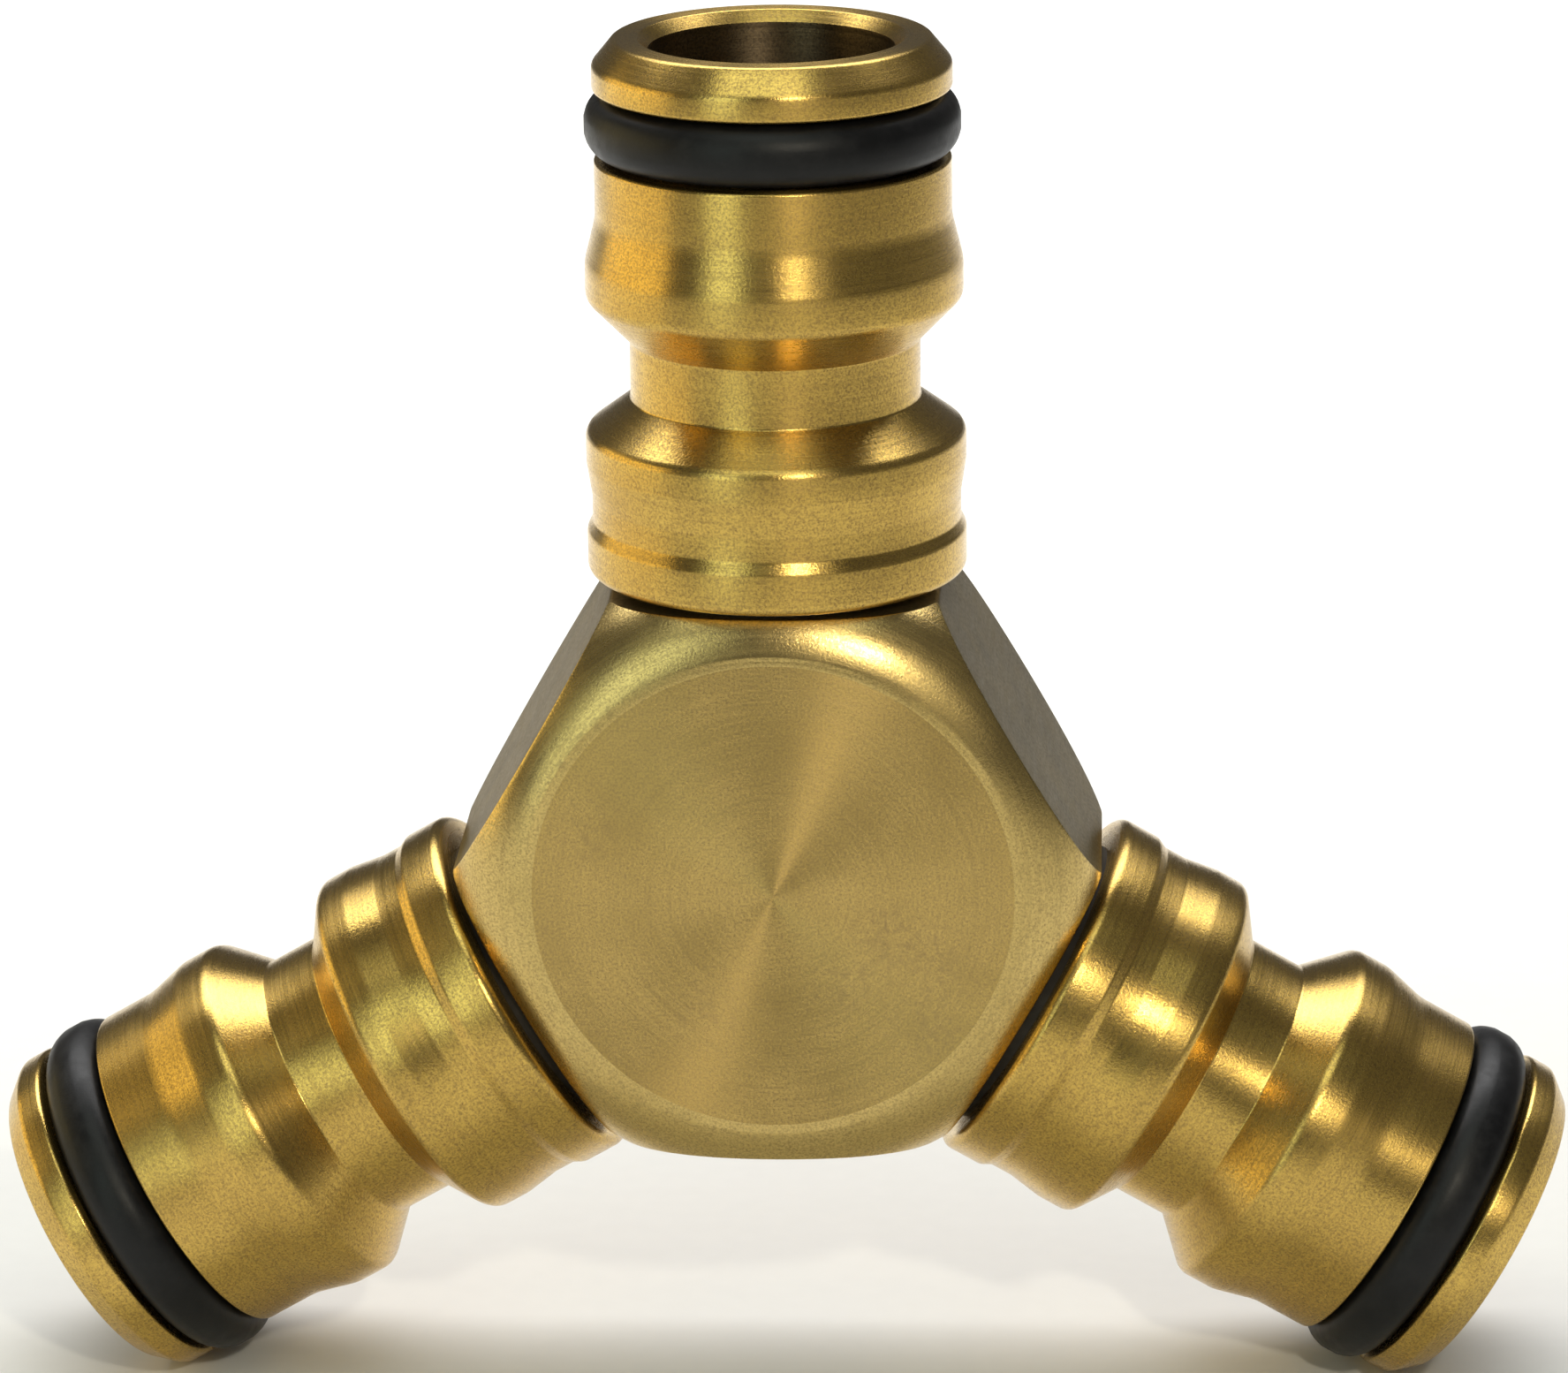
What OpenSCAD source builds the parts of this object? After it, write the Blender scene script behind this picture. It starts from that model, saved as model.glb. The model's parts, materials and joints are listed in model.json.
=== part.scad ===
// Three-way hose splitter: a hexagonal brass block with three screwed-in
// quick-connect nipples at 120 degrees, each with an O-ring and a sealing washer.
// The origin is where the three port axes meet. The top port points along +Z,
// and the block's turned faces point along -Y (front) and +Y (back).

/* [Block] */
// Width of the hexagonal bar across its flats
hex_across_flats = 25.6; // [25.2:0.1:26]
// Length of bar cut for the block, from front face to back face
block_thickness = 16; // [15.6:0.1:17]
// Diameter of the flat disc that is turned on each face
face_disc_d = 22.3; // [22:0.1:23]
// Radius of the shoulder that is turned from the disc's rim down to the bar's corners
shoulder_radius = 4.5; // [4.2:0.1:4.8]

/* [Ports] */
// Thread size of each nipple's shank and port, major diameter
thread_d = 12; // [11.8:0.1:12]
// Pitch of that thread
thread_pitch = 1; // [0.9:0.1:1]
// Depth of thread engagement below the flat
thread_depth = 6; // [5:0.5:6.5]
// Diameter of the water way drilled to the middle of the block
water_way_d = 9; // [8:0.1:9]

/* [Nipple] */
// Length of the nipple from its tip to the shoulder that seats on the washer
nipple_length = 24.45; // [24.3:0.05:26]
// Outer diameter of the lip at the tip
lip_d = 16.1; // [16:0.1:16.2]
// Outer diameter of the barrel behind the O-ring
barrel_d = 16; // [15.9:0.1:16.1]
// Outer diameter of the catch that the coupler's claws snap behind
catch_d = 17; // [16.8:0.1:17.1]
// Outer diameter of the neck that the claws sit in
neck_d = 13.1; // [12.9:0.1:13.4]
// Outer diameter of the two collars next to the block
collar_d = 17.2; // [17.1:0.1:17.3]
// Bore through the tip and barrel, wider than the water way behind it
tip_bore_d = 11; // [10:0.1:11]
// Depth of that wider bore from the tip
tip_bore_depth = 12; // [10:0.5:18]

/* [Seals] */
// Radial thickness of the O-ring
oring_thickness = 2.4; // [2.3:0.05:2.4]
// Width of the O-ring along the nipple
oring_width = 2.9; // [2.6:0.05:2.95]
// Thickness of the sealing washer under each nipple
washer_thickness = 0.45; // [0.3:0.05:0.6]
// Outer diameter of the sealing washer
washer_od = 14; // [13.6:0.1:14.2]

/* [Hidden] */
$fn = 96;

BRASS = [0.72, 0.58, 0.30];
BLACK_RUBBER = [0.06, 0.06, 0.06];
GREY_FIBRE = [0.13, 0.12, 0.11];

// Angle of each port about +Y, from the top port
TOP = 0;
RIGHT = 120;
LEFT = 240;

flat = hex_across_flats / 2;
corner = flat / cos(30);
half_block = block_thickness / 2;
disc_r = face_disc_d / 2;
shoulder_clear = 0.03;

// The nipple is drawn along its own axis, and z is the distance from the block's middle
seat_z = flat + washer_thickness;
tip_z = seat_z + nipple_length;
shank_end_z = flat - thread_depth;
lip_r = lip_d / 2;
barrel_r = barrel_d / 2;
catch_r = catch_d / 2;
neck_r = neck_d / 2;
collar_r = collar_d / 2;
tip_bore_r = tip_bore_d / 2;
water_way_r = water_way_d / 2;

// Thread: a 60 degree form, with the shank's ridges clear of the port's by a running gap
thread_height = 0.55 * thread_pitch;
thread_gap = 0.04;
thread_r = thread_d / 2;
crest_flat = 0.125 * thread_pitch;
thread_start_z = flat - 1;
thread_turns = floor((thread_depth - 2) / thread_pitch);

// O-ring and its groove
oring_gap = 0.02;
oring_outer_r = catch_r - 0.07;
groove_r = oring_outer_r - oring_thickness - oring_gap;
groove_start = 2.3;
groove_end = 5.4;
oring_z = tip_z - (groove_start + groove_end) / 2;

// Stations of the nipple's outline, measured back from its tip
lip_bevel = 1.15;
barrel_end = 8.1;
catch_start = 10.1;
catch_end = 11.7;
neck_start = 13.7;
neck_end = 16.4;
collar_start = 17.9;
collar_end = 19.3;
waist_start = 20.9;
waist_end = 22;
base_collar_start = 22.5;
waist_r = collar_r - 0.25;
lip_face_r = 7.1;
bore_bevel = 0.5;
bore_step_z = tip_z - tip_bore_depth;
drill_slope = tan(31);

ARC_STEPS = 5;
SHOULDER_STEPS = 12;

// Points of the arc that rounds the corner b, between the points a and c
function unit(v) = v / norm(v);
function rounded_corner(a, b, c, radius) =
    let (
        u = unit(a - b),
        w = unit(c - b),
        half_angle = acos(max(-1, min(1, u * w))) / 2,
        centre = b + unit(u + w) * radius / sin(half_angle),
        from = b + u * radius / tan(half_angle) - centre,
        to = b + w * radius / tan(half_angle) - centre,
        start = atan2(from.y, from.x),
        turn = atan2(from.x * to.y - from.y * to.x, from * to)
    )
    [for (i = [0 : ARC_STEPS]) centre + radius * [
        cos(start + turn * i / ARC_STEPS),
        sin(start + turn * i / ARC_STEPS)
    ]];

// An outline of [x, y, corner radius] as plain points, with its corners rounded
function rounded_outline(points) =
    let (count = len(points), at = function (i) [points[i % count].x, points[i % count].y])
    [for (i = [0 : count - 1])
        each points[i][2] > 0
            ? rounded_corner(at(i + count - 1), at(i), at(i + 1), points[i][2])
            : [at(i)]];

// Ridges of a thread seen in section, from start_z down, as [x, y, 0] points
function thread_section(root, crest, start_z) =
    let (flank = abs(crest - root) * tan(30))
    [for (turn = [0 : thread_turns - 1])
        let (z = start_z - turn * thread_pitch)
        each [
            [root, z, 0],
            [crest, z - flank, 0],
            [crest, z - flank - crest_flat, 0],
            [root, z - 2 * flank - crest_flat, 0]
        ]];

// Puts what is drawn along +Z on the port at this angle
module on_port(angle) {
    rotate([0, angle, 0]) children();
}

// Both turned ends of the block: a flat disc, then a round shoulder down past the bar's corners
module turned_bar() {
    centre_r = corner + shoulder_clear - shoulder_radius;
    rim_angle = acos((disc_r - centre_r) / shoulder_radius);
    centre_y = half_block - shoulder_radius * sin(rim_angle);
    shoulder = [for (i = [0 : SHOULDER_STEPS])
        let (a = rim_angle * i / SHOULDER_STEPS)
        [centre_r + shoulder_radius * cos(a), centre_y + shoulder_radius * sin(a)]];
    rotate([90, 0, 0])
        rotate_extrude()
            polygon(concat(
                [[0, half_block], [0, -half_block]],
                [for (i = [SHOULDER_STEPS : -1 : 0]) [shoulder[i].x, -shoulder[i].y]],
                shoulder
            ));
}

// The hexagonal bar, with a flat towards each port
module hex_bar() {
    rotate([90, 0, 0])
        cylinder(r = corner, h = block_thickness + 2, center = true, $fn = 6);
}

// What is drilled and tapped from one flat to the middle of the block
module port_hole() {
    major = thread_r + thread_gap;
    minor = thread_r - thread_height + thread_gap;
    mouth_bevel = 0.5;
    drill_end_z = shank_end_z - 1.5;
    rotate_extrude()
        polygon([for (p = concat(
            [
                [0, flat + 1, 0],
                [major, flat + 1, 0],
                [major, flat, 0],
                [minor, flat - mouth_bevel, 0]
            ],
            thread_section(minor, major, thread_start_z),
            [
                [minor, drill_end_z, 0],
                [water_way_r, drill_end_z - (minor - water_way_r) * drill_slope, 0],
                [water_way_r, 0, 0],
                [0, 0, 0]
            ]
        )) [p.x, p.y]]);
}

module hex_block() {
    color(BRASS)
        difference() {
            intersection() {
                hex_bar();
                turned_bar();
            }
            for (angle = [TOP, RIGHT, LEFT]) on_port(angle) port_hole();
            sphere(r = water_way_r + 0.01);
        }
}

// Outline of half the nipple in section: up the bore, round the tip and down the outside
function nipple_section() =
    let (
        crest = thread_r - thread_gap,
        root = crest - thread_height,
        back = function (station) tip_z - station
    )
    concat(
        [
            [water_way_r, shank_end_z, 0],
            [water_way_r, bore_step_z - (tip_bore_r - water_way_r) * drill_slope, 0],
            [tip_bore_r, bore_step_z, 0],
            [tip_bore_r, back(bore_bevel), 0],
            [tip_bore_r + bore_bevel, tip_z, 0.12],
            [lip_face_r, tip_z, 0.35],
            [lip_r, back(lip_bevel), 0.5],
            [lip_r, back(groove_start), 0.2],
            [groove_r, back(groove_start), 0.2],
            [groove_r, back(groove_end), 0.2],
            [barrel_r, back(groove_end), 0.15],
            [barrel_r, back(barrel_end), 2.5],
            [catch_r, back(catch_start), 1.5],
            [catch_r, back(catch_end), 0.7],
            [neck_r, back(neck_start), 0.15],
            [neck_r, back(neck_end), 0.15],
            [collar_r, back(collar_start), 0.6],
            [collar_r, back(collar_end), 1.2],
            [waist_r, back(waist_start), 0.8],
            [waist_r, back(waist_end), 0.3],
            [collar_r, back(base_collar_start), 0.4],
            [collar_r, seat_z, 0.45],
            [root, seat_z, 0]
        ],
        thread_section(root, crest, thread_start_z),
        [
            [root, shank_end_z + 0.3, 0],
            [root - 0.3, shank_end_z, 0]
        ]
    );

// One quick-connect nipple, turned from round bar
module nipple() {
    color(BRASS)
        rotate_extrude() polygon(rounded_outline(nipple_section()));
}

// The ring that seals in the coupler, pressed a little flat by its groove
module oring() {
    round_r = oring_thickness / 2;
    spread = oring_width / 2 - round_r;
    inner = oring_outer_r - oring_thickness;
    color(BLACK_RUBBER)
        translate([0, 0, oring_z])
            rotate_extrude()
                polygon([for (side = [1, -1], i = [0 : 12])
                    let (a = side > 0 ? i * 15 : 180 + i * 15)
                    [inner + round_r + round_r * cos(a), side * spread + round_r * sin(a)]]);
}

// The flat washer between the nipple's shoulder and the block
module washer() {
    washer_id = thread_d + 0.3;
    color(GREY_FIBRE)
        rotate_extrude()
            translate([washer_id / 2, flat])
                square([(washer_od - washer_id) / 2, washer_thickness]);
}

hex_block();
on_port(TOP) nipple();  // nipple_top
on_port(RIGHT) nipple();  // nipple_right
on_port(LEFT) nipple();  // nipple_left
on_port(TOP) oring();  // oring_top
on_port(RIGHT) oring();  // oring_right
on_port(LEFT) oring();  // oring_left
on_port(TOP) washer();  // washer_top
on_port(RIGHT) washer();  // washer_right
on_port(LEFT) washer();  // washer_left
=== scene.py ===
import json
import math
import random

import bpy
from mathutils import Matrix, Vector


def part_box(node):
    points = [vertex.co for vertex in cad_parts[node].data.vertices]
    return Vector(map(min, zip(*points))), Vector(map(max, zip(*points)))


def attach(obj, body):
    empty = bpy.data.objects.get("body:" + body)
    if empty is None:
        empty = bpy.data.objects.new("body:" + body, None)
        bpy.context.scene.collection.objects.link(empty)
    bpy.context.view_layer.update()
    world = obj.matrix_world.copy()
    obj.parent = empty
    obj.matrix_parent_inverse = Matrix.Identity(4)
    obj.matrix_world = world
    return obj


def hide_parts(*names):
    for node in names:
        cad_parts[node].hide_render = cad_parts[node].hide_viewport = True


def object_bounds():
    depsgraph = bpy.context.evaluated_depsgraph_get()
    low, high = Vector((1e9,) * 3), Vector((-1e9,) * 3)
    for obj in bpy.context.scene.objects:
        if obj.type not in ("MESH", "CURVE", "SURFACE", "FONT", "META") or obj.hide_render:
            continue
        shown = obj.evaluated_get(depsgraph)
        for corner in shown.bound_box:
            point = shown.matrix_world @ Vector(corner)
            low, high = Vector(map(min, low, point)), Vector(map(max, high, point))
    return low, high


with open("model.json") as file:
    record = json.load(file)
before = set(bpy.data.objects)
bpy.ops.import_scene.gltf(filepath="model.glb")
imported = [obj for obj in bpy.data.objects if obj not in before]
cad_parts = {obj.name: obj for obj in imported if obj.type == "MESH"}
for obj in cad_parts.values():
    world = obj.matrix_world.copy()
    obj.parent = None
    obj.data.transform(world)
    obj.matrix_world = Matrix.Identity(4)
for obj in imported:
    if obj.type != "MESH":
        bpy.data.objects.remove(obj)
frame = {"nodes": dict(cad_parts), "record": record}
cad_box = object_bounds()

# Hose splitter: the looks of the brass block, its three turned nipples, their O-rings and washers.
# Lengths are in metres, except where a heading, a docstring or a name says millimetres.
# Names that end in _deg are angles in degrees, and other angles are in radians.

MM = 0.001
TURN = 2 * math.pi
PORTS = {"top": 0, "right": 120, "left": 240}    # degrees about +Y, from the top port
OWN_PLACE = "own_place"                  # attribute: a point's place in mm, with the piece's axis along Z
ROUND_MAP = "round"                      # map whose U runs round the piece's axis

# ------------------------------------------------------------ sizes that come from the frame, in millimetres

mounts = {m["name"]: m for m in frame["record"]["mounts"]}
block_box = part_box("hex_block")
nipple_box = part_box("nipple_top")
washer_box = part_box("washer_top")
oring_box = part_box("oring_top")

FLAT = block_box[1].z / MM               # from the middle of the block to each of its six flats
HALF_BLOCK = block_box[1].y / MM         # half the block's thickness, front to back
TIP = nipple_box[1].z / MM               # from the middle of the block to a nipple's tip
SHANK_END = nipple_box[0].z / MM
SEAT = washer_box[1].z / MM              # where the nipple's shoulder meets the washer
COLLAR_R = nipple_box[1].y / MM
CATCH_R = mounts["coupling_top"]["dims"]["r_mm"]
TIP_BORE_R = mounts["bore_top"]["dims"]["r_mm"]
ORING_R = oring_box[1].x / MM
ORING_WIDTH = (oring_box[1].z - oring_box[0].z) / MM
ORING_Z = (oring_box[1].z + oring_box[0].z) / 2 / MM

# ------------------------------------------------------------ the block, in millimetres

HEX_HALF_deg = 30                        # half of the angle that each flat takes up about the block's axis
HEX_SLANT = math.cos(math.radians(HEX_HALF_deg))
DISC_R = 11.15
DISC_RADII = (0.6, 1.5, 3.0, 4.5, 6.0, 7.5, 9.0, 10.0)
RIM_ROUND = 0.3                          # width of the band that is just broken inside the disc's rim
RIM_DROP = 0.024                         # and how far it drops
RIM_STEPS = 3
SHOULDER_R = 4.5                         # radius of the turned shoulder, seen in section
SHOULDER_CLEAR = 0.03                    # how far its arc passes outside the bar's corners
SHOULDER_STEPS = 20
EDGE_ROUND = 0.15                        # where the shoulder meets a flat
EDGE_STEPS = 5
WALL_STEPS = 8
CORNER_ROUND = 0.3                       # the bar's own six corners
CORNER_STEPS = 4
FLAT_STEPS = 64
WATER_WAY_R = 4.5
MOUTH_BEVEL = 0.5                        # at the mouth of each tapped port
DRILL_RUN = 1.5                          # how far the tapping drill runs on past the nipple's shank
JUNCTION_R = WATER_WAY_R + 0.01
BALL_STEPS = 24

# Marks on the front face: how far across and up, how far they reach, and how dark they are
FACE_SMUDGES = ((5.2, -1.6, 2.0, 0.7), (7.3, -3.1, 2.4, 0.6), (3.6, -4.2, 2.6, 0.5), (-3.2, -5.6, 2.2, 0.45),
                (6.9, -6.3, 2.2, 0.5), (-8.0, 3.2, 2.6, 0.4))
RIM_NICKS = ((-8.0, 7.9, 0.5, 1.0), (-8.7, 7.2, 0.45, 1.0), (-7.2, 8.7, 0.4, 0.9), (-9.4, 6.2, 0.4, 0.8),
             (6.3, 9.4, 0.7, 0.6), (-5.8, 9.8, 0.6, 0.5))

# ------------------------------------------------------------ the thread, in millimetres

THREAD_R = 6.0
THREAD_PITCH = 1.0
THREAD_HEIGHT = 0.55 * THREAD_PITCH
THREAD_FLANK_deg = 30
THREAD_GAP = 0.04
THREAD_CREST = 0.125 * THREAD_PITCH
THREAD_TURNS = 4
THREAD_START = FLAT - 1
DRILL_SLOPE = math.tan(math.radians(31))

# ------------------------------------------------------------ the nipple, in millimetres back from its tip

LIP_R = 8.049
LIP_FACE_R = 7.1
LIP_BEVEL = 1.15
BORE_BEVEL = 0.5
BORE_DEPTH = 12.0
GROOVE_R = ORING_R - 2.42
GROOVE = (2.3, 5.4)
BARREL_R = 8.0
BARREL_END = 8.1
CATCH = (10.1, 11.7)
NECK_R = 6.55
NECK = (13.7, 16.4)
COLLAR = (17.9, 19.3)
WAIST_R = COLLAR_R - 0.25
WAIST = (20.9, 22.0)
BASE_COLLAR_START = 22.5
SHANK_BEVEL = 0.3

# Rings that the boring tool left in the mouth, as far in as they can be seen
MARKED_BORE = (6.0, BORE_BEVEL + 0.2)
MARK_PITCH = 0.25
MARK_DEPTH = 0.03

# ------------------------------------------------------------ the O-ring, in millimetres

ORING_ROUND = 1.2                        # radius of its section, before its groove presses it flat
MOULD_RIDGE = 0.03
RIDGE_REACH = 0.12                       # as the sine of the angle about the section's middle
ORING_STEPS = 40


# ================================================================ mesh tools

def rounded(outline, step_deg=10):
    """The closed outline of (x, y, corner radius) points as plain points, with its corners rounded."""
    made = []
    for i, (x, y, radius) in enumerate(outline):
        here = Vector((x, y))
        if radius <= 0:
            made.append(here)
            continue
        before = (Vector(outline[i - 1][:2]) - here).normalized()
        after = (Vector(outline[(i + 1) % len(outline)][:2]) - here).normalized()
        half = before.angle(after) / 2
        centre = here + (before + after).normalized() * radius / math.sin(half)
        start = here + before * radius / math.tan(half) - centre
        turn = start.angle_signed(here + after * radius / math.tan(half) - centre)
        steps = max(2, math.ceil(math.degrees(abs(turn)) / step_deg))
        for k in range(steps + 1):
            made.append(centre + Matrix.Rotation(-turn * k / steps, 2) @ start)
    return made


def mesh_from(name, points, faces, sharp_deg=28):
    mesh = bpy.data.meshes.new(name)
    mesh.from_pydata([tuple(p) for p in points], [], faces)
    mesh.validate()
    mesh.shade_smooth()
    mesh.set_sharp_from_angle(angle=math.radians(sharp_deg))
    return mesh


def add_piece(name, mesh):
    piece = bpy.data.objects.new(name, mesh)
    bpy.context.scene.collection.objects.link(piece)
    return piece


def lathe(name, outline, port, segments=224):
    """A closed outline of (radius, height) in millimetres, turned about Z and then set on its port.

    It carries each point's place before it was set there, and a map whose U runs round the axis.
    """
    points, rows = [], []
    for x, y in outline:
        if x < 1e-6:
            # on the axis, a whole row is one point
            rows.append([len(points)] * segments)
            points.append(Vector((0, 0, y * MM)))
            continue
        rows.append(range(len(points), len(points) + segments))
        for k in range(segments):
            a = TURN * k / segments
            points.append(Vector((x * MM * math.cos(a), x * MM * math.sin(a), y * MM)))
    faces, spots = [], []
    for i, row in enumerate(rows):
        above = rows[(i + 1) % len(rows)]
        if row[0] == row[1] and above[0] == above[1]:
            continue
        for k in range(segments):
            n = (k + 1) % segments
            corners = ((row[k], (k, i)), (row[n], (k + 1, i)),
                       (above[n], (k + 1, i + 1)), (above[k], (k, i + 1)))
            face = []
            for point, spot in corners:
                if point not in face:
                    face.append(point)
                    spots.append(spot)
            faces.append(face)
    turned = Matrix.Rotation(math.radians(PORTS[port]), 3, "Y")
    mesh = mesh_from(name, [turned @ point for point in points], faces)
    own = mesh.attributes.new(OWN_PLACE, "FLOAT_VECTOR", "POINT")
    own.data.foreach_set("vector", [value for point in points for value in point / MM])
    around = mesh.uv_layers.new(name=ROUND_MAP)
    around.data.foreach_set("uv", [value for k, i in spots for value in (k / segments, i / len(rows))])
    return mesh


def cut_away(piece, cutters):
    """Takes the cutters out of the piece for good, and removes them."""
    for cutter in cutters:
        cut = piece.modifiers.new(cutter.name, "BOOLEAN")
        cut.operation = "DIFFERENCE"
        cut.solver = "EXACT"
        cut.object = cutter
    solid = bpy.data.meshes.new_from_object(piece.evaluated_get(bpy.context.evaluated_depsgraph_get()))
    piece.modifiers.clear()
    piece.data = solid
    for cutter in cutters:
        bpy.data.objects.remove(cutter)


# ================================================================ shapes, drawn in millimetres

def thread_outline(root, crest, start):
    """Ridges of the thread seen in section, from start down."""
    flank = abs(crest - root) * math.tan(math.radians(THREAD_FLANK_deg))
    made = []
    for turn in range(THREAD_TURNS):
        z = start - turn * THREAD_PITCH
        made += [(root, z, 0), (crest, z - flank, 0), (crest, z - flank - THREAD_CREST, 0),
                 (root, z - 2 * flank - THREAD_CREST, 0)]
    return made


def tool_marks(radius, start, end, draws):
    """Shallow rings that the boring tool leaves on the wall, from start to end, each a little different."""
    made = []
    count = int((end - start) / MARK_PITCH)
    for k in range(count):
        z = start + (end - start) * (k + 0.5) / count
        made.append((radius + MARK_DEPTH * draws.uniform(0.3, 1.0), z, 0))
        made.append((radius, z + MARK_PITCH * draws.uniform(0.35, 0.5), 0))
    return made


def nipple_outline(draws):
    """Half of the nipple in section: up the bore, round the tip, down the outside and round the shank."""
    crest = THREAD_R - THREAD_GAP
    root = crest - THREAD_HEIGHT
    step_z = TIP - BORE_DEPTH

    def back(station):
        return TIP - station

    bore = [(WATER_WAY_R, SHANK_END, 0),
            (WATER_WAY_R, step_z - (TIP_BORE_R - WATER_WAY_R) * DRILL_SLOPE, 0),
            (TIP_BORE_R, step_z, 0)]
    bore += tool_marks(TIP_BORE_R, back(MARKED_BORE[0]), back(MARKED_BORE[1]), draws)
    outside = [(TIP_BORE_R, back(BORE_BEVEL), 0),
               (TIP_BORE_R + BORE_BEVEL, TIP, 0.12),
               (LIP_FACE_R, TIP, 0.35),
               (LIP_R, back(LIP_BEVEL), 0.5),
               (LIP_R, back(GROOVE[0]), 0.2),
               (GROOVE_R, back(GROOVE[0]), 0.2),
               (GROOVE_R, back(GROOVE[1]), 0.2),
               (BARREL_R, back(GROOVE[1]), 0.15),
               (BARREL_R, back(BARREL_END), 2.5),
               (CATCH_R, back(CATCH[0]), 1.5),
               (CATCH_R, back(CATCH[1]), 0.7),
               (NECK_R, back(NECK[0]), 0.15),
               (NECK_R, back(NECK[1]), 0.15),
               (COLLAR_R, back(COLLAR[0]), 0.6),
               (COLLAR_R, back(COLLAR[1]), 1.2),
               (WAIST_R, back(WAIST[0]), 0.8),
               (WAIST_R, back(WAIST[1]), 0.3),
               (COLLAR_R, back(BASE_COLLAR_START), 0.4),
               (COLLAR_R, SEAT, 0.45),
               (root, SEAT, 0)]
    shank = thread_outline(root, crest, THREAD_START)
    shank += [(root, SHANK_END + SHANK_BEVEL, 0), (root - SHANK_BEVEL, SHANK_END, 0)]
    return rounded(bore + outside + shank)


def build_nipple(name):
    draws = random.Random(PORTS[name] + 1)
    return add_piece("turned_nipple_" + name, lathe("nipple_" + name, nipple_outline(draws), name))


def build_oring(name):
    """A rubber ring that its groove presses a little flat, with the faint ridge where its mould parted."""
    spread = ORING_WIDTH / 2 - ORING_ROUND
    middle = ORING_R - ORING_ROUND
    outline = []
    for k in range(ORING_STEPS):
        a = TURN * (k + 0.5) / ORING_STEPS
        side = spread if math.sin(a) > 0 else -spread
        swell = MOULD_RIDGE * math.exp(-(math.sin(a) / RIDGE_REACH) ** 2) if math.cos(a) > 0 else 0
        r = ORING_ROUND - MOULD_RIDGE + swell
        outline.append((middle + r * math.cos(a), ORING_Z + side + r * math.sin(a)))
    return add_piece("rubber_oring_" + name, lathe("oring_" + name, outline, name, segments=192))


def hexagon_directions():
    """Angles about the block's axis, from +X towards +Z, with the distance to the rounded hexagon at each."""
    inner = (FLAT - CORNER_ROUND) / HEX_SLANT
    reach_deg = math.degrees(math.atan2(CORNER_ROUND / 2, inner + CORNER_ROUND * HEX_SLANT))
    flat_half_deg = HEX_HALF_deg - reach_deg
    made = []
    for corner_deg in range(0, 360, 2 * HEX_HALF_deg):
        for k in range(CORNER_STEPS + 1):
            offset_deg = reach_deg * (2 * k / CORNER_STEPS - 1)
            a = math.radians(offset_deg)
            across = inner * math.sin(a)
            distance = inner * math.cos(a) + math.sqrt(CORNER_ROUND ** 2 - across ** 2)
            made.append((corner_deg + offset_deg, distance))
        for k in range(1, FLAT_STEPS):
            offset_deg = -flat_half_deg + 2 * flat_half_deg * k / FLAT_STEPS
            distance = FLAT / math.cos(math.radians(offset_deg))
            made.append((corner_deg + HEX_HALF_deg + offset_deg, distance))
    return made


def block_section(reach):
    """Half a section of the block from the front's middle to its waist, as (radius, height) points."""
    centre_r = FLAT / HEX_SLANT + SHOULDER_CLEAR - SHOULDER_R
    rim = math.asin((DISC_R - centre_r) / SHOULDER_R)        # angles here are from the block's own axis
    centre_y = HALF_BLOCK - SHOULDER_R * math.cos(rim)
    # the edge where the shoulder meets the bar's flat is a small round that touches both
    edge_r = reach - EDGE_ROUND
    edge = math.asin((edge_r - centre_r) / (SHOULDER_R - EDGE_ROUND))
    edge_y = centre_y + (SHOULDER_R - EDGE_ROUND) * math.cos(edge)
    made = [(r, HALF_BLOCK) for r in DISC_RADII]
    for k in range(RIM_STEPS + 1):
        share = k / RIM_STEPS
        made.append((DISC_R - RIM_ROUND * (1 - share), HALF_BLOCK - RIM_DROP * share ** 2))
    for k in range(1, SHOULDER_STEPS + 1):
        a = rim + (edge - rim) * k / SHOULDER_STEPS
        made.append((centre_r + SHOULDER_R * math.sin(a), centre_y + SHOULDER_R * math.cos(a)))
    for k in range(1, EDGE_STEPS + 1):
        a = edge + (math.pi / 2 - edge) * k / EDGE_STEPS
        made.append((edge_r + EDGE_ROUND * math.sin(a), edge_y + EDGE_ROUND * math.cos(a)))
    wall_top = made[-1][1]
    made += [(reach, wall_top * (1 - k / WALL_STEPS)) for k in range(1, WALL_STEPS + 1)]
    return made


def port_cutter(name):
    """What is drilled and tapped from one flat to the middle of the block."""
    major = THREAD_R + THREAD_GAP
    minor = THREAD_R - THREAD_HEIGHT + THREAD_GAP
    drill_end = SHANK_END - DRILL_RUN
    outline = [(0, FLAT + 1), (major, FLAT + 1), (major, FLAT), (minor, FLAT - MOUTH_BEVEL)]
    outline += [(x, y) for x, y, _ in thread_outline(minor, major, THREAD_START)]
    outline += [(minor, drill_end), (WATER_WAY_R, drill_end - (minor - WATER_WAY_R) * DRILL_SLOPE),
                (WATER_WAY_R, 0), (0, 0)]
    return add_piece("cutter_" + name, lathe("cutter_" + name, outline, name, segments=96))


def junction_cutter():
    """A ball that cleans up the middle, where the three drillings meet."""
    outline = []
    for k in range(BALL_STEPS + 1):
        a = math.pi * k / BALL_STEPS
        outline.append((JUNCTION_R * math.sin(a), JUNCTION_R * math.cos(a)))
    return add_piece("cutter_middle", lathe("cutter_middle", outline, "top", segments=48))


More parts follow.
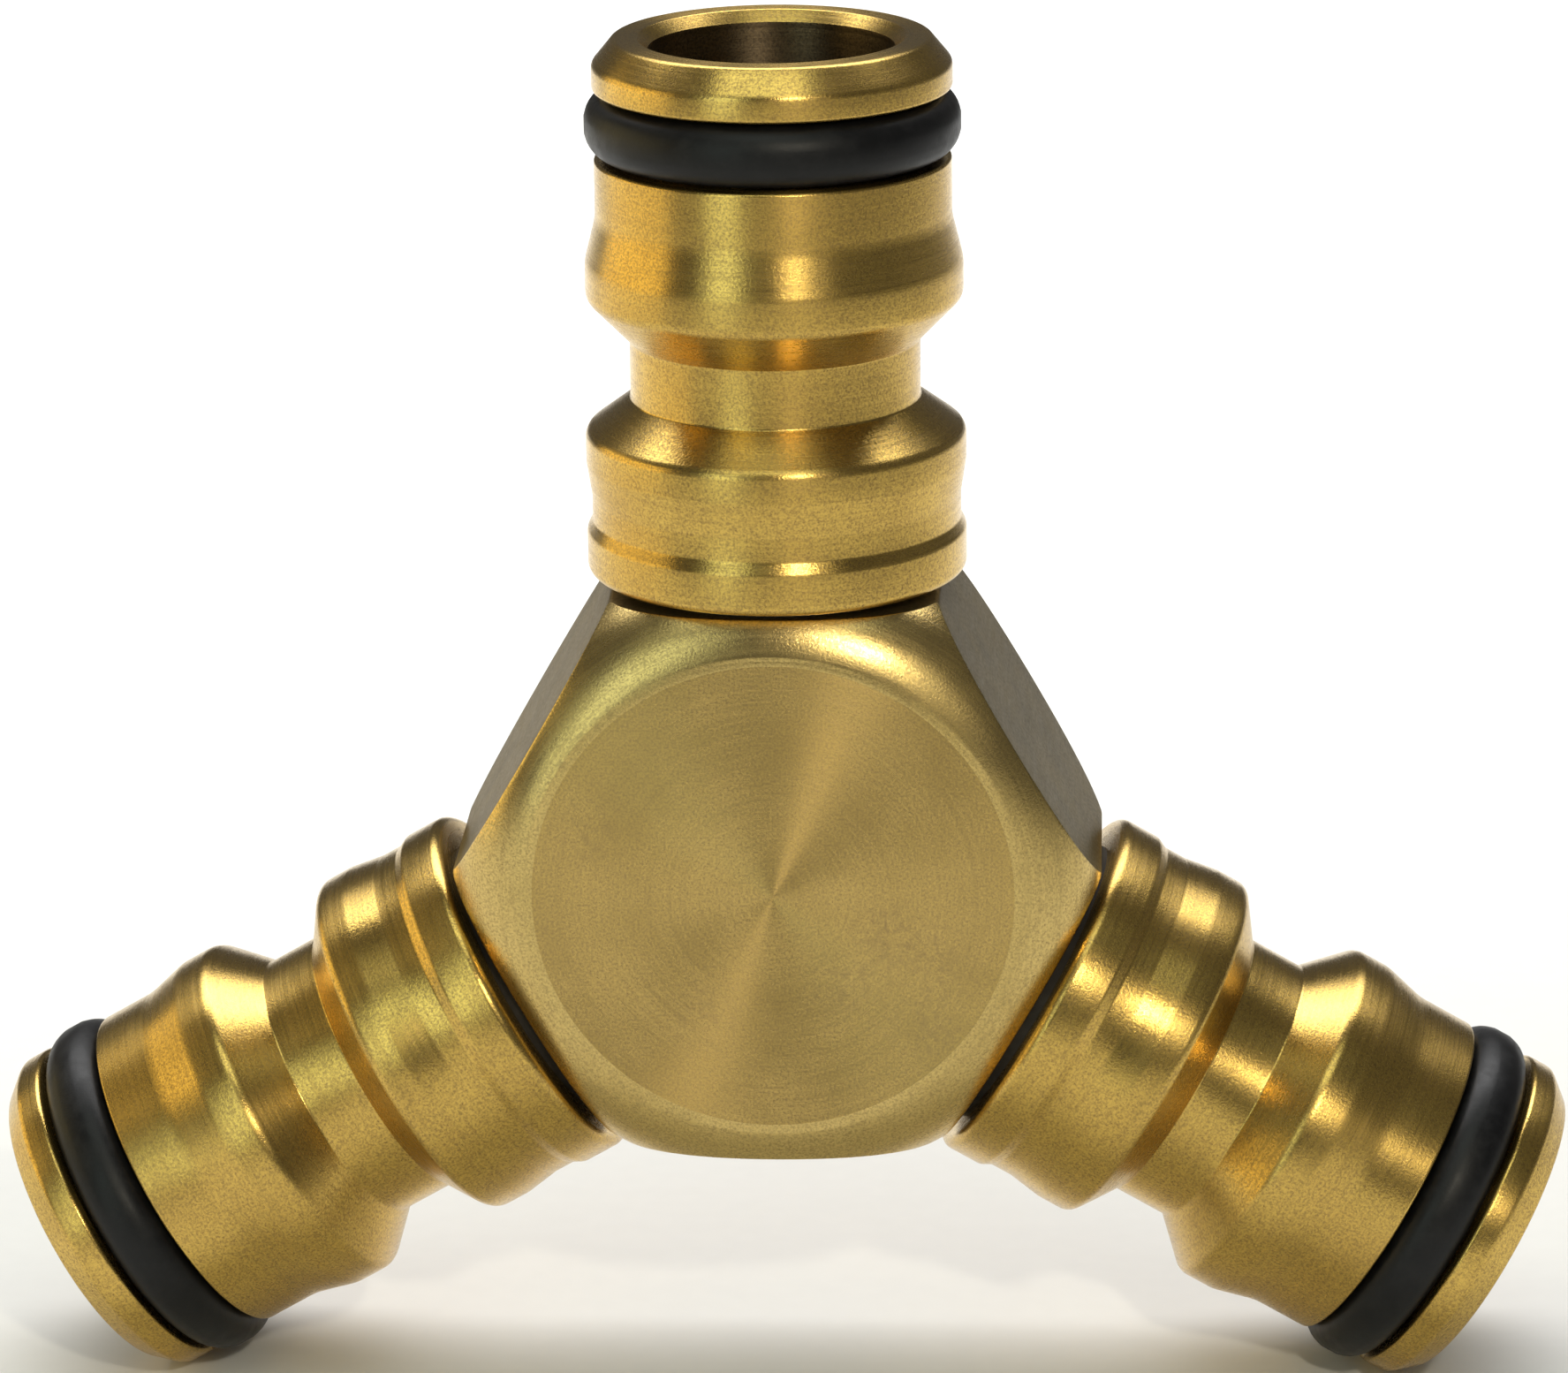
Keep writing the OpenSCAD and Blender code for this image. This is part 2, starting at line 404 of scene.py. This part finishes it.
def build_block():
    """The hexagonal bar with a turned disc and shoulder on both faces, and its edges just broken."""
    points = [(0, -HALF_BLOCK * MM, 0), (0, HALF_BLOCK * MM, 0)]
    front, rear = 0, 1                   # the middles of the two faces
    sections = []
    for a_deg, reach in hexagon_directions():
        a = math.radians(a_deg)
        half = block_section(reach)
        whole = [(r, -y) for r, y in half] + [(r, y) for r, y in reversed(half[:-1])]
        first = len(points)
        points += [(r * MM * math.cos(a), y * MM, r * MM * math.sin(a)) for r, y in whole]
        sections.append(range(first, len(points)))
    faces = []
    for i, here in enumerate(sections):
        there = sections[(i + 1) % len(sections)]
        faces.append((front, here[0], there[0]))
        faces.append((rear, there[-1], here[-1]))
        for k in range(len(here) - 1):
            faces.append((here[k], here[k + 1], there[k + 1], there[k]))
    block = add_piece("brass_block", mesh_from("brass_block", points, faces))
    cut_away(block, [port_cutter(name) for name in PORTS] + [junction_cutter()])
    return block


# ================================================================ materials

class Nodes:
    """A material's node tree, with short calls for the nodes that are used here.

    A value is a number, a colour or an (output node, output name) pair.
    """

    def __init__(self, name):
        self.material = bpy.data.materials.new(name)
        self.material.use_nodes = True
        self.tree = self.material.node_tree
        self.tree.nodes.clear()
        self.surface = self.add("ShaderNodeBsdfPrincipled")
        output = self.add("ShaderNodeOutputMaterial")
        self.feed((self.surface, "BSDF"), output, "Surface")

    def add(self, kind, **settings):
        node = self.tree.nodes.new(kind)
        for key, value in settings.items():
            if key in node.inputs:
                node.inputs[key].default_value = value
            else:
                setattr(node, key, value)
        return node

    def feed(self, value, node, socket):
        """Puts a value into a node's socket."""
        if isinstance(value, tuple) and isinstance(value[0], bpy.types.Node):
            source, output = value
            self.tree.links.new(source.outputs[output], node.inputs[socket])
        elif isinstance(value, tuple):
            node.inputs[socket].default_value = (*value, 1.0)
        else:
            node.inputs[socket].default_value = value

    def coat(self, **values):
        """Puts values into the surface's sockets, named with _ for each space."""
        for name, value in values.items():
            self.feed(value, self.surface, name.replace("_", " "))

    def place(self):
        """Where a point is on the piece, in millimetres."""
        spot = self.add("ShaderNodeTexCoord")
        scale = self.add("ShaderNodeVectorMath", operation="SCALE", Scale=1 / MM)
        self.feed((spot, "Object"), scale, 0)
        return scale, 0

    def own_place(self):
        """Where a point of a lathed piece is, in millimetres, with the piece's axis along Z."""
        return self.add("ShaderNodeAttribute", attribute_name=OWN_PLACE), "Vector"

    def math(self, operation, a, b=0.0):
        """Two values put together, or one on its own."""
        node = self.add("ShaderNodeMath", operation=operation)
        self.feed(a, node, 0)
        self.feed(b, node, 1)
        return node, 0

    def join(self, x, y, z):
        node = self.add("ShaderNodeCombineXYZ")
        for socket, value in enumerate((x, y, z)):
            self.feed(value, node, socket)
        return node, 0

    def noise(self, where, scale, detail, roughness):
        node = self.add("ShaderNodeTexNoise", Scale=scale, Detail=detail, Roughness=roughness)
        self.feed(where, node, "Vector")
        return node, 0

    def ramp(self, source, low, high, from_value, to_value):
        """Maps the source from low..high to from_value..to_value."""
        node = self.add("ShaderNodeMapRange")
        limits = {"From Min": low, "From Max": high, "To Min": from_value, "To Max": to_value}
        for socket, value in limits.items():
            self.feed(value, node, socket)
        self.feed(source, node, "Value")
        return node, 0

    def mix(self, share, first, second):
        """Mixes two colours."""
        node = self.add("ShaderNodeMix", data_type="RGBA")
        self.feed(share, node, "Factor")
        first_socket, second_socket, colour_output = 6, 7, 2     # the ones for colours
        self.feed(first, node, first_socket)
        self.feed(second, node, second_socket)
        return node, colour_output

    def bump(self, height, strength, distance_mm, over=None):
        """A normal that follows the height, on top of another bump if there is one under it."""
        node = self.add("ShaderNodeBump", Strength=strength, Distance=distance_mm * MM)
        self.feed(height, node, "Height")
        if over is not None:
            self.feed(over, node, "Normal")
        return node, "Normal"


def turned_brass(name, own_axis, bright, dull, smear, roughness, anisotropic, groove, marks=()):
    """Brass off a lathe: fine rings, a long highlight across them, and a little tarnish.

    It was turned about the piece's own axis, or about the block's Y.
    The marks are dark spots on the block's front.
    """
    nodes = Nodes(name)
    if own_axis:
        place = nodes.own_place()
        along, side, other = 2, 0, 1
        tangent = nodes.add("ShaderNodeTangent", direction_type="UV_MAP", uv_map=ROUND_MAP)
    else:
        place = nodes.place()
        along, side, other = 1, 0, 2
        tangent = nodes.add("ShaderNodeTangent", direction_type="RADIAL", axis="Y")
    parts = nodes.add("ShaderNodeSeparateXYZ")
    nodes.feed(place, parts, 0)
    squares = [nodes.math("POWER", (parts, axis), 2.0) for axis in (side, other)]
    radius = nodes.math("SQRT", nodes.math("ADD", *squares))
    wander = nodes.math("MULTIPLY", (parts, side), 0.02)         # so that no ring is quite the same all round
    rings = nodes.noise(nodes.join(radius, (parts, along), wander), scale=7.0, detail=4.0, roughness=0.7)
    grain = nodes.noise(place, scale=9.0, detail=3.0, roughness=0.65)
    clouds = nodes.noise(place, scale=0.22, detail=3.0, roughness=0.55)
    spots = nodes.noise(place, scale=2.4, detail=4.0, roughness=0.65)

    colour = nodes.mix(nodes.ramp(clouds, 0.35, 0.7, 0.0, 1.0), bright, dull)
    colour = nodes.mix(nodes.ramp(rings, 0.45, 0.75, 0.0, 0.30), colour, smear)
    colour = nodes.mix(nodes.ramp(grain, 0.42, 0.66, 0.0, 0.85), colour, smear)
    colour = nodes.mix(nodes.ramp(spots, 0.62, 0.78, 0.0, 0.6), colour, smear)
    for x, z, reach, strength in marks:
        away = nodes.add("ShaderNodeVectorMath", operation="DISTANCE")
        nodes.feed(place, away, 0)
        away.inputs[1].default_value = (x, -HALF_BLOCK, z)
        near = nodes.ramp((away, "Value"), reach, 0.0, 0.0, strength)
        patchy = nodes.math("MULTIPLY", near, nodes.ramp(spots, 0.45, 0.6, 0.0, 1.0))
        colour = nodes.mix(patchy, colour, smear)

    rough = nodes.math("ADD", nodes.ramp(rings, 0.3, 0.7, -0.05, 0.05),
                       nodes.ramp(clouds, 0.3, 0.7, roughness - 0.04, roughness + 0.06))
    rough = nodes.math("ADD", rough, nodes.ramp(grain, 0.3, 0.7, -0.04, 0.04))
    fine = nodes.bump(grain, strength=0.45, distance_mm=0.02)
    cut = nodes.bump(rings, strength=groove, distance_mm=0.02, over=fine)
    nodes.coat(Base_Color=colour, Roughness=rough, Normal=cut, Tangent=(tangent, "Tangent"), Metallic=1.0,
               Anisotropic=anisotropic, Anisotropic_Rotation=0.25)
    return nodes.material


def bar_brass(name, bright, dull, smear):
    """The skin of the drawn hexagon bar: matt, a little grey, with faint lines along the bar."""
    nodes = Nodes(name)
    place = nodes.place()
    stretch = nodes.add("ShaderNodeVectorMath", operation="MULTIPLY")
    stretch.inputs[1].default_value = (1.0, 0.06, 1.0)
    nodes.feed(place, stretch, 0)
    lines = nodes.noise((stretch, 0), scale=5.0, detail=4.0, roughness=0.6)
    grain = nodes.noise(place, scale=6.0, detail=4.0, roughness=0.65)
    clouds = nodes.noise(place, scale=0.3, detail=3.0, roughness=0.6)
    colour = nodes.mix(nodes.ramp(clouds, 0.35, 0.7, 0.0, 1.0), bright, dull)
    colour = nodes.mix(nodes.ramp(grain, 0.42, 0.72, 0.0, 0.6), colour, smear)
    rough = nodes.math("ADD", nodes.ramp(grain, 0.3, 0.7, 0.46, 0.6),
                       nodes.ramp(lines, 0.3, 0.7, -0.04, 0.04))
    fine = nodes.bump(grain, strength=0.5, distance_mm=0.03)
    drawn = nodes.bump(lines, strength=0.25, distance_mm=0.02, over=fine)
    nodes.coat(Base_Color=colour, Roughness=rough, Normal=drawn, Metallic=1.0)
    return nodes.material


def rubber(name, colour, dusty, roughness):
    """Rubber or fibre: satin to matt, with a fine grain and a trace of dust."""
    nodes = Nodes(name)
    place = nodes.place()
    grain = nodes.noise(place, scale=9.0, detail=4.0, roughness=0.6)
    dust = nodes.noise(place, scale=1.1, detail=5.0, roughness=0.7)
    shade = nodes.mix(nodes.ramp(dust, 0.45, 0.75, 0.0, 0.7), colour, dusty)
    rough = nodes.ramp(dust, 0.3, 0.7, roughness - 0.05, roughness + 0.12)
    nodes.coat(Base_Color=shade, Roughness=rough, Normal=nodes.bump(grain, strength=0.3, distance_mm=0.02),
               Specular_IOR_Level=0.3)
    return nodes.material


def floor_paint(name, colour):
    """Plain pale paper, with the faintest tooth."""
    nodes = Nodes(name)
    tooth = nodes.noise(nodes.place(), scale=0.8, detail=3.0, roughness=0.5)
    shade = nodes.mix(nodes.ramp(tooth, 0.3, 0.7, 0.0, 1.0), colour, tuple(0.985 * c for c in colour))
    nodes.coat(Base_Color=shade, Roughness=0.9, Specular_IOR_Level=0.1)
    return nodes.material


# ================================================================ the object

nipple_brass = turned_brass("nipple_brass", True, bright=(0.77, 0.52, 0.13), dull=(0.67, 0.44, 0.11),
                            smear=(0.34, 0.22, 0.08), roughness=0.25, anisotropic=0.8, groove=0.25)
face_brass = turned_brass("face_brass", False, bright=(0.63, 0.44, 0.145), dull=(0.53, 0.37, 0.12),
                          smear=(0.36, 0.25, 0.11), roughness=0.28, anisotropic=0.97, groove=0.12,
                          marks=FACE_SMUDGES)
shoulder_brass = turned_brass("shoulder_brass", False, bright=(0.76, 0.56, 0.21), dull=(0.66, 0.48, 0.17),
                              smear=(0.40, 0.29, 0.12), roughness=0.24, anisotropic=0.45, groove=0.12,
                              marks=RIM_NICKS)
# The bore's brass, painted much darker than the nipple's: painted shade inside the bore, with the same rings
# and grain.
bore_painted_shade = turned_brass("bore_painted_shade", True, bright=(0.34, 0.25, 0.14), dull=(0.22, 0.16, 0.10),
                          smear=(0.08, 0.06, 0.04), roughness=0.34, anisotropic=0.8, groove=0.5)
flat_brass = bar_brass("flat_brass", bright=(0.27, 0.21, 0.105), dull=(0.20, 0.16, 0.085),
                       smear=(0.11, 0.085, 0.05))
black_rubber = rubber("black_rubber", colour=(0.004, 0.004, 0.005), dusty=(0.012, 0.012, 0.013),
                      roughness=0.40)
dark_fibre = rubber("dark_fibre", colour=(0.02, 0.017, 0.015), dusty=(0.05, 0.045, 0.04), roughness=0.7)


def paint_block(mesh):
    """Turned brass on the discs and bores, another cut on the shoulders, and bar skin on the flats."""
    mesh.materials.clear()
    for material in (face_brass, flat_brass, shoulder_brass):
        mesh.materials.append(material)
    for face in mesh.polygons:
        out = math.hypot(face.center.x, face.center.z) / MM
        on_flat = abs(face.normal.y) < 0.2 and out > FLAT - 0.1
        on_shoulder = out > DISC_R - RIM_ROUND and abs(face.center.y) / MM > HALF_BLOCK - SHOULDER_R
        if on_flat:
            face.material_index = 1
        elif on_shoulder:
            face.material_index = 2


def paint_nipple(mesh):
    """Bright turned brass, and the bore painted much darker as shade."""
    mesh.materials.append(nipple_brass)
    mesh.materials.append(bore_painted_shade)
    own = mesh.attributes[OWN_PLACE].data
    for face in mesh.polygons:
        # every face inside the bore gets the darker brass, as painted shade
        if all(Vector(own[v].vector).xy.length < TIP_BORE_R + 0.1 for v in face.vertices):
            face.material_index = 1


block = build_block()
paint_block(block.data)
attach(block, "root")
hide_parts("hex_block")

for port in PORTS:
    nipple = build_nipple(port)
    paint_nipple(nipple.data)
    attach(nipple, "root")
    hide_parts("nipple_" + port)

    oring = build_oring(port)
    oring.data.materials.append(black_rubber)
    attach(oring, "root")
    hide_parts("oring_" + port)

    washer = frame["nodes"]["washer_" + port]
    washer.data.materials.clear()
    washer.data.materials.append(dark_fibre)

# ================================================================ the studio

FLOOR_HALF = 4.0
FLOOR_GAP = 0.02 * MM            # the floor lies this far under the two lower nipples
LIGHT_TARGET = (0, 0, 0.005)
BACK_TARGET = (-0.03, 0.235, -0.02)      # just above the floor, behind the object

# In a direction, azimuth 0 is the front and 90 is the object's right-hand side.
LIGHTS = (
    dict(name="warm_side", azimuth_deg=-96, elevation_deg=8, distance=0.36, width=0.40, height=0.24,
         radiance=1.25, colour=(1.0, 0.79, 0.34)),
    dict(name="cool_strip", azimuth_deg=-29, elevation_deg=17, distance=0.36, width=0.13, height=0.28,
         radiance=1.5, colour=(0.84, 1.0, 0.88)),
    dict(name="front_right", azimuth_deg=22, elevation_deg=26, distance=0.42, width=0.20, height=0.22,
         radiance=0.75, colour=(1.0, 0.96, 0.85)),
    dict(name="overhead", azimuth_deg=-8, elevation_deg=66, distance=0.40, width=0.30, height=0.20,
         radiance=1.5, colour=(0.90, 1.0, 0.88)),
    dict(name="small_lamp", azimuth_deg=16, elevation_deg=31, distance=0.40, width=0.022, height=0.022,
         radiance=230.0, colour=(1.0, 0.92, 0.72)),
    dict(name="back_top", azimuth_deg=180, elevation_deg=88, distance=0.36, width=0.50, height=0.30,
         radiance=2.9, colour=(1.0, 1.0, 1.0), at=BACK_TARGET, spread_deg=115),
)


def direction(azimuth_deg, elevation_deg):
    azimuth, elevation = math.radians(azimuth_deg), math.radians(elevation_deg)
    return Vector((math.sin(azimuth) * math.cos(elevation),
                   -math.cos(azimuth) * math.cos(elevation),
                   math.sin(elevation)))


def area_light(name, azimuth_deg, elevation_deg, distance, width, height, radiance, colour, at=LIGHT_TARGET,
               spread_deg=180):
    """A soft box that looks at a point from this direction and distance."""
    lamp = bpy.data.lights.new(name, "AREA")
    lamp.shape = "RECTANGLE"
    lamp.size, lamp.size_y = width, height
    lamp.energy = radiance * math.pi * width * height
    lamp.color = colour
    lamp.spread = math.radians(spread_deg)
    light = bpy.data.objects.new(name, lamp)
    bpy.context.scene.collection.objects.link(light)
    light.location = Vector(at) + distance * direction(azimuth_deg, elevation_deg)
    light.rotation_euler = (Vector(at) - light.location).to_track_quat("-Z", "Y").to_euler()


def build_floor():
    z = cad_box[0].z - FLOOR_GAP
    corners = [(x * FLOOR_HALF, y * FLOOR_HALF, z) for x, y in ((-1, -1), (1, -1), (1, 1), (-1, 1))]
    mesh = mesh_from("floor", corners, [(0, 1, 2, 3)])
    mesh.materials.append(floor_paint("pale_paper", (0.84, 0.84, 0.835)))
    floor = add_piece("floor", mesh)


build_floor()
for light in LIGHTS:
    area_light(**light)

world = bpy.data.worlds.new("studio")
bpy.context.scene.world = world
world.use_nodes = True
world.node_tree.nodes["Background"].inputs["Color"].default_value = (0.95, 0.92, 0.85, 1.0)
world.node_tree.nodes["Background"].inputs["Strength"].default_value = 0.11

# ================================================================ the camera

CAMERA_DISTANCE = 0.3133
CAMERA_AZIMUTH_deg = 2.88
CAMERA_ELEVATION_deg = 16.97
CAMERA_ROLL_deg = -0.68
CAMERA_TARGET = Vector((0.22 * MM, 0, 7.49 * MM))
CAMERA_SENSOR_MM = 36
CAMERA_LENS_MM = 157.5

camera = bpy.data.objects.new("camera", bpy.data.cameras.new("camera"))
bpy.context.scene.collection.objects.link(camera)
camera.location = CAMERA_TARGET + CAMERA_DISTANCE * direction(CAMERA_AZIMUTH_deg, CAMERA_ELEVATION_deg)
looking = (CAMERA_TARGET - camera.location).to_track_quat("-Z", "Y")
camera.rotation_mode = "QUATERNION"
camera.rotation_quaternion = looking @ Matrix.Rotation(math.radians(CAMERA_ROLL_deg), 3, "Z").to_quaternion()
camera.data.sensor_width = CAMERA_SENSOR_MM
camera.data.lens = CAMERA_LENS_MM
camera.data.clip_start, camera.data.clip_end = 0.01, 20
bpy.context.scene.camera = camera

bpy.context.scene.view_settings.view_transform = "Standard"
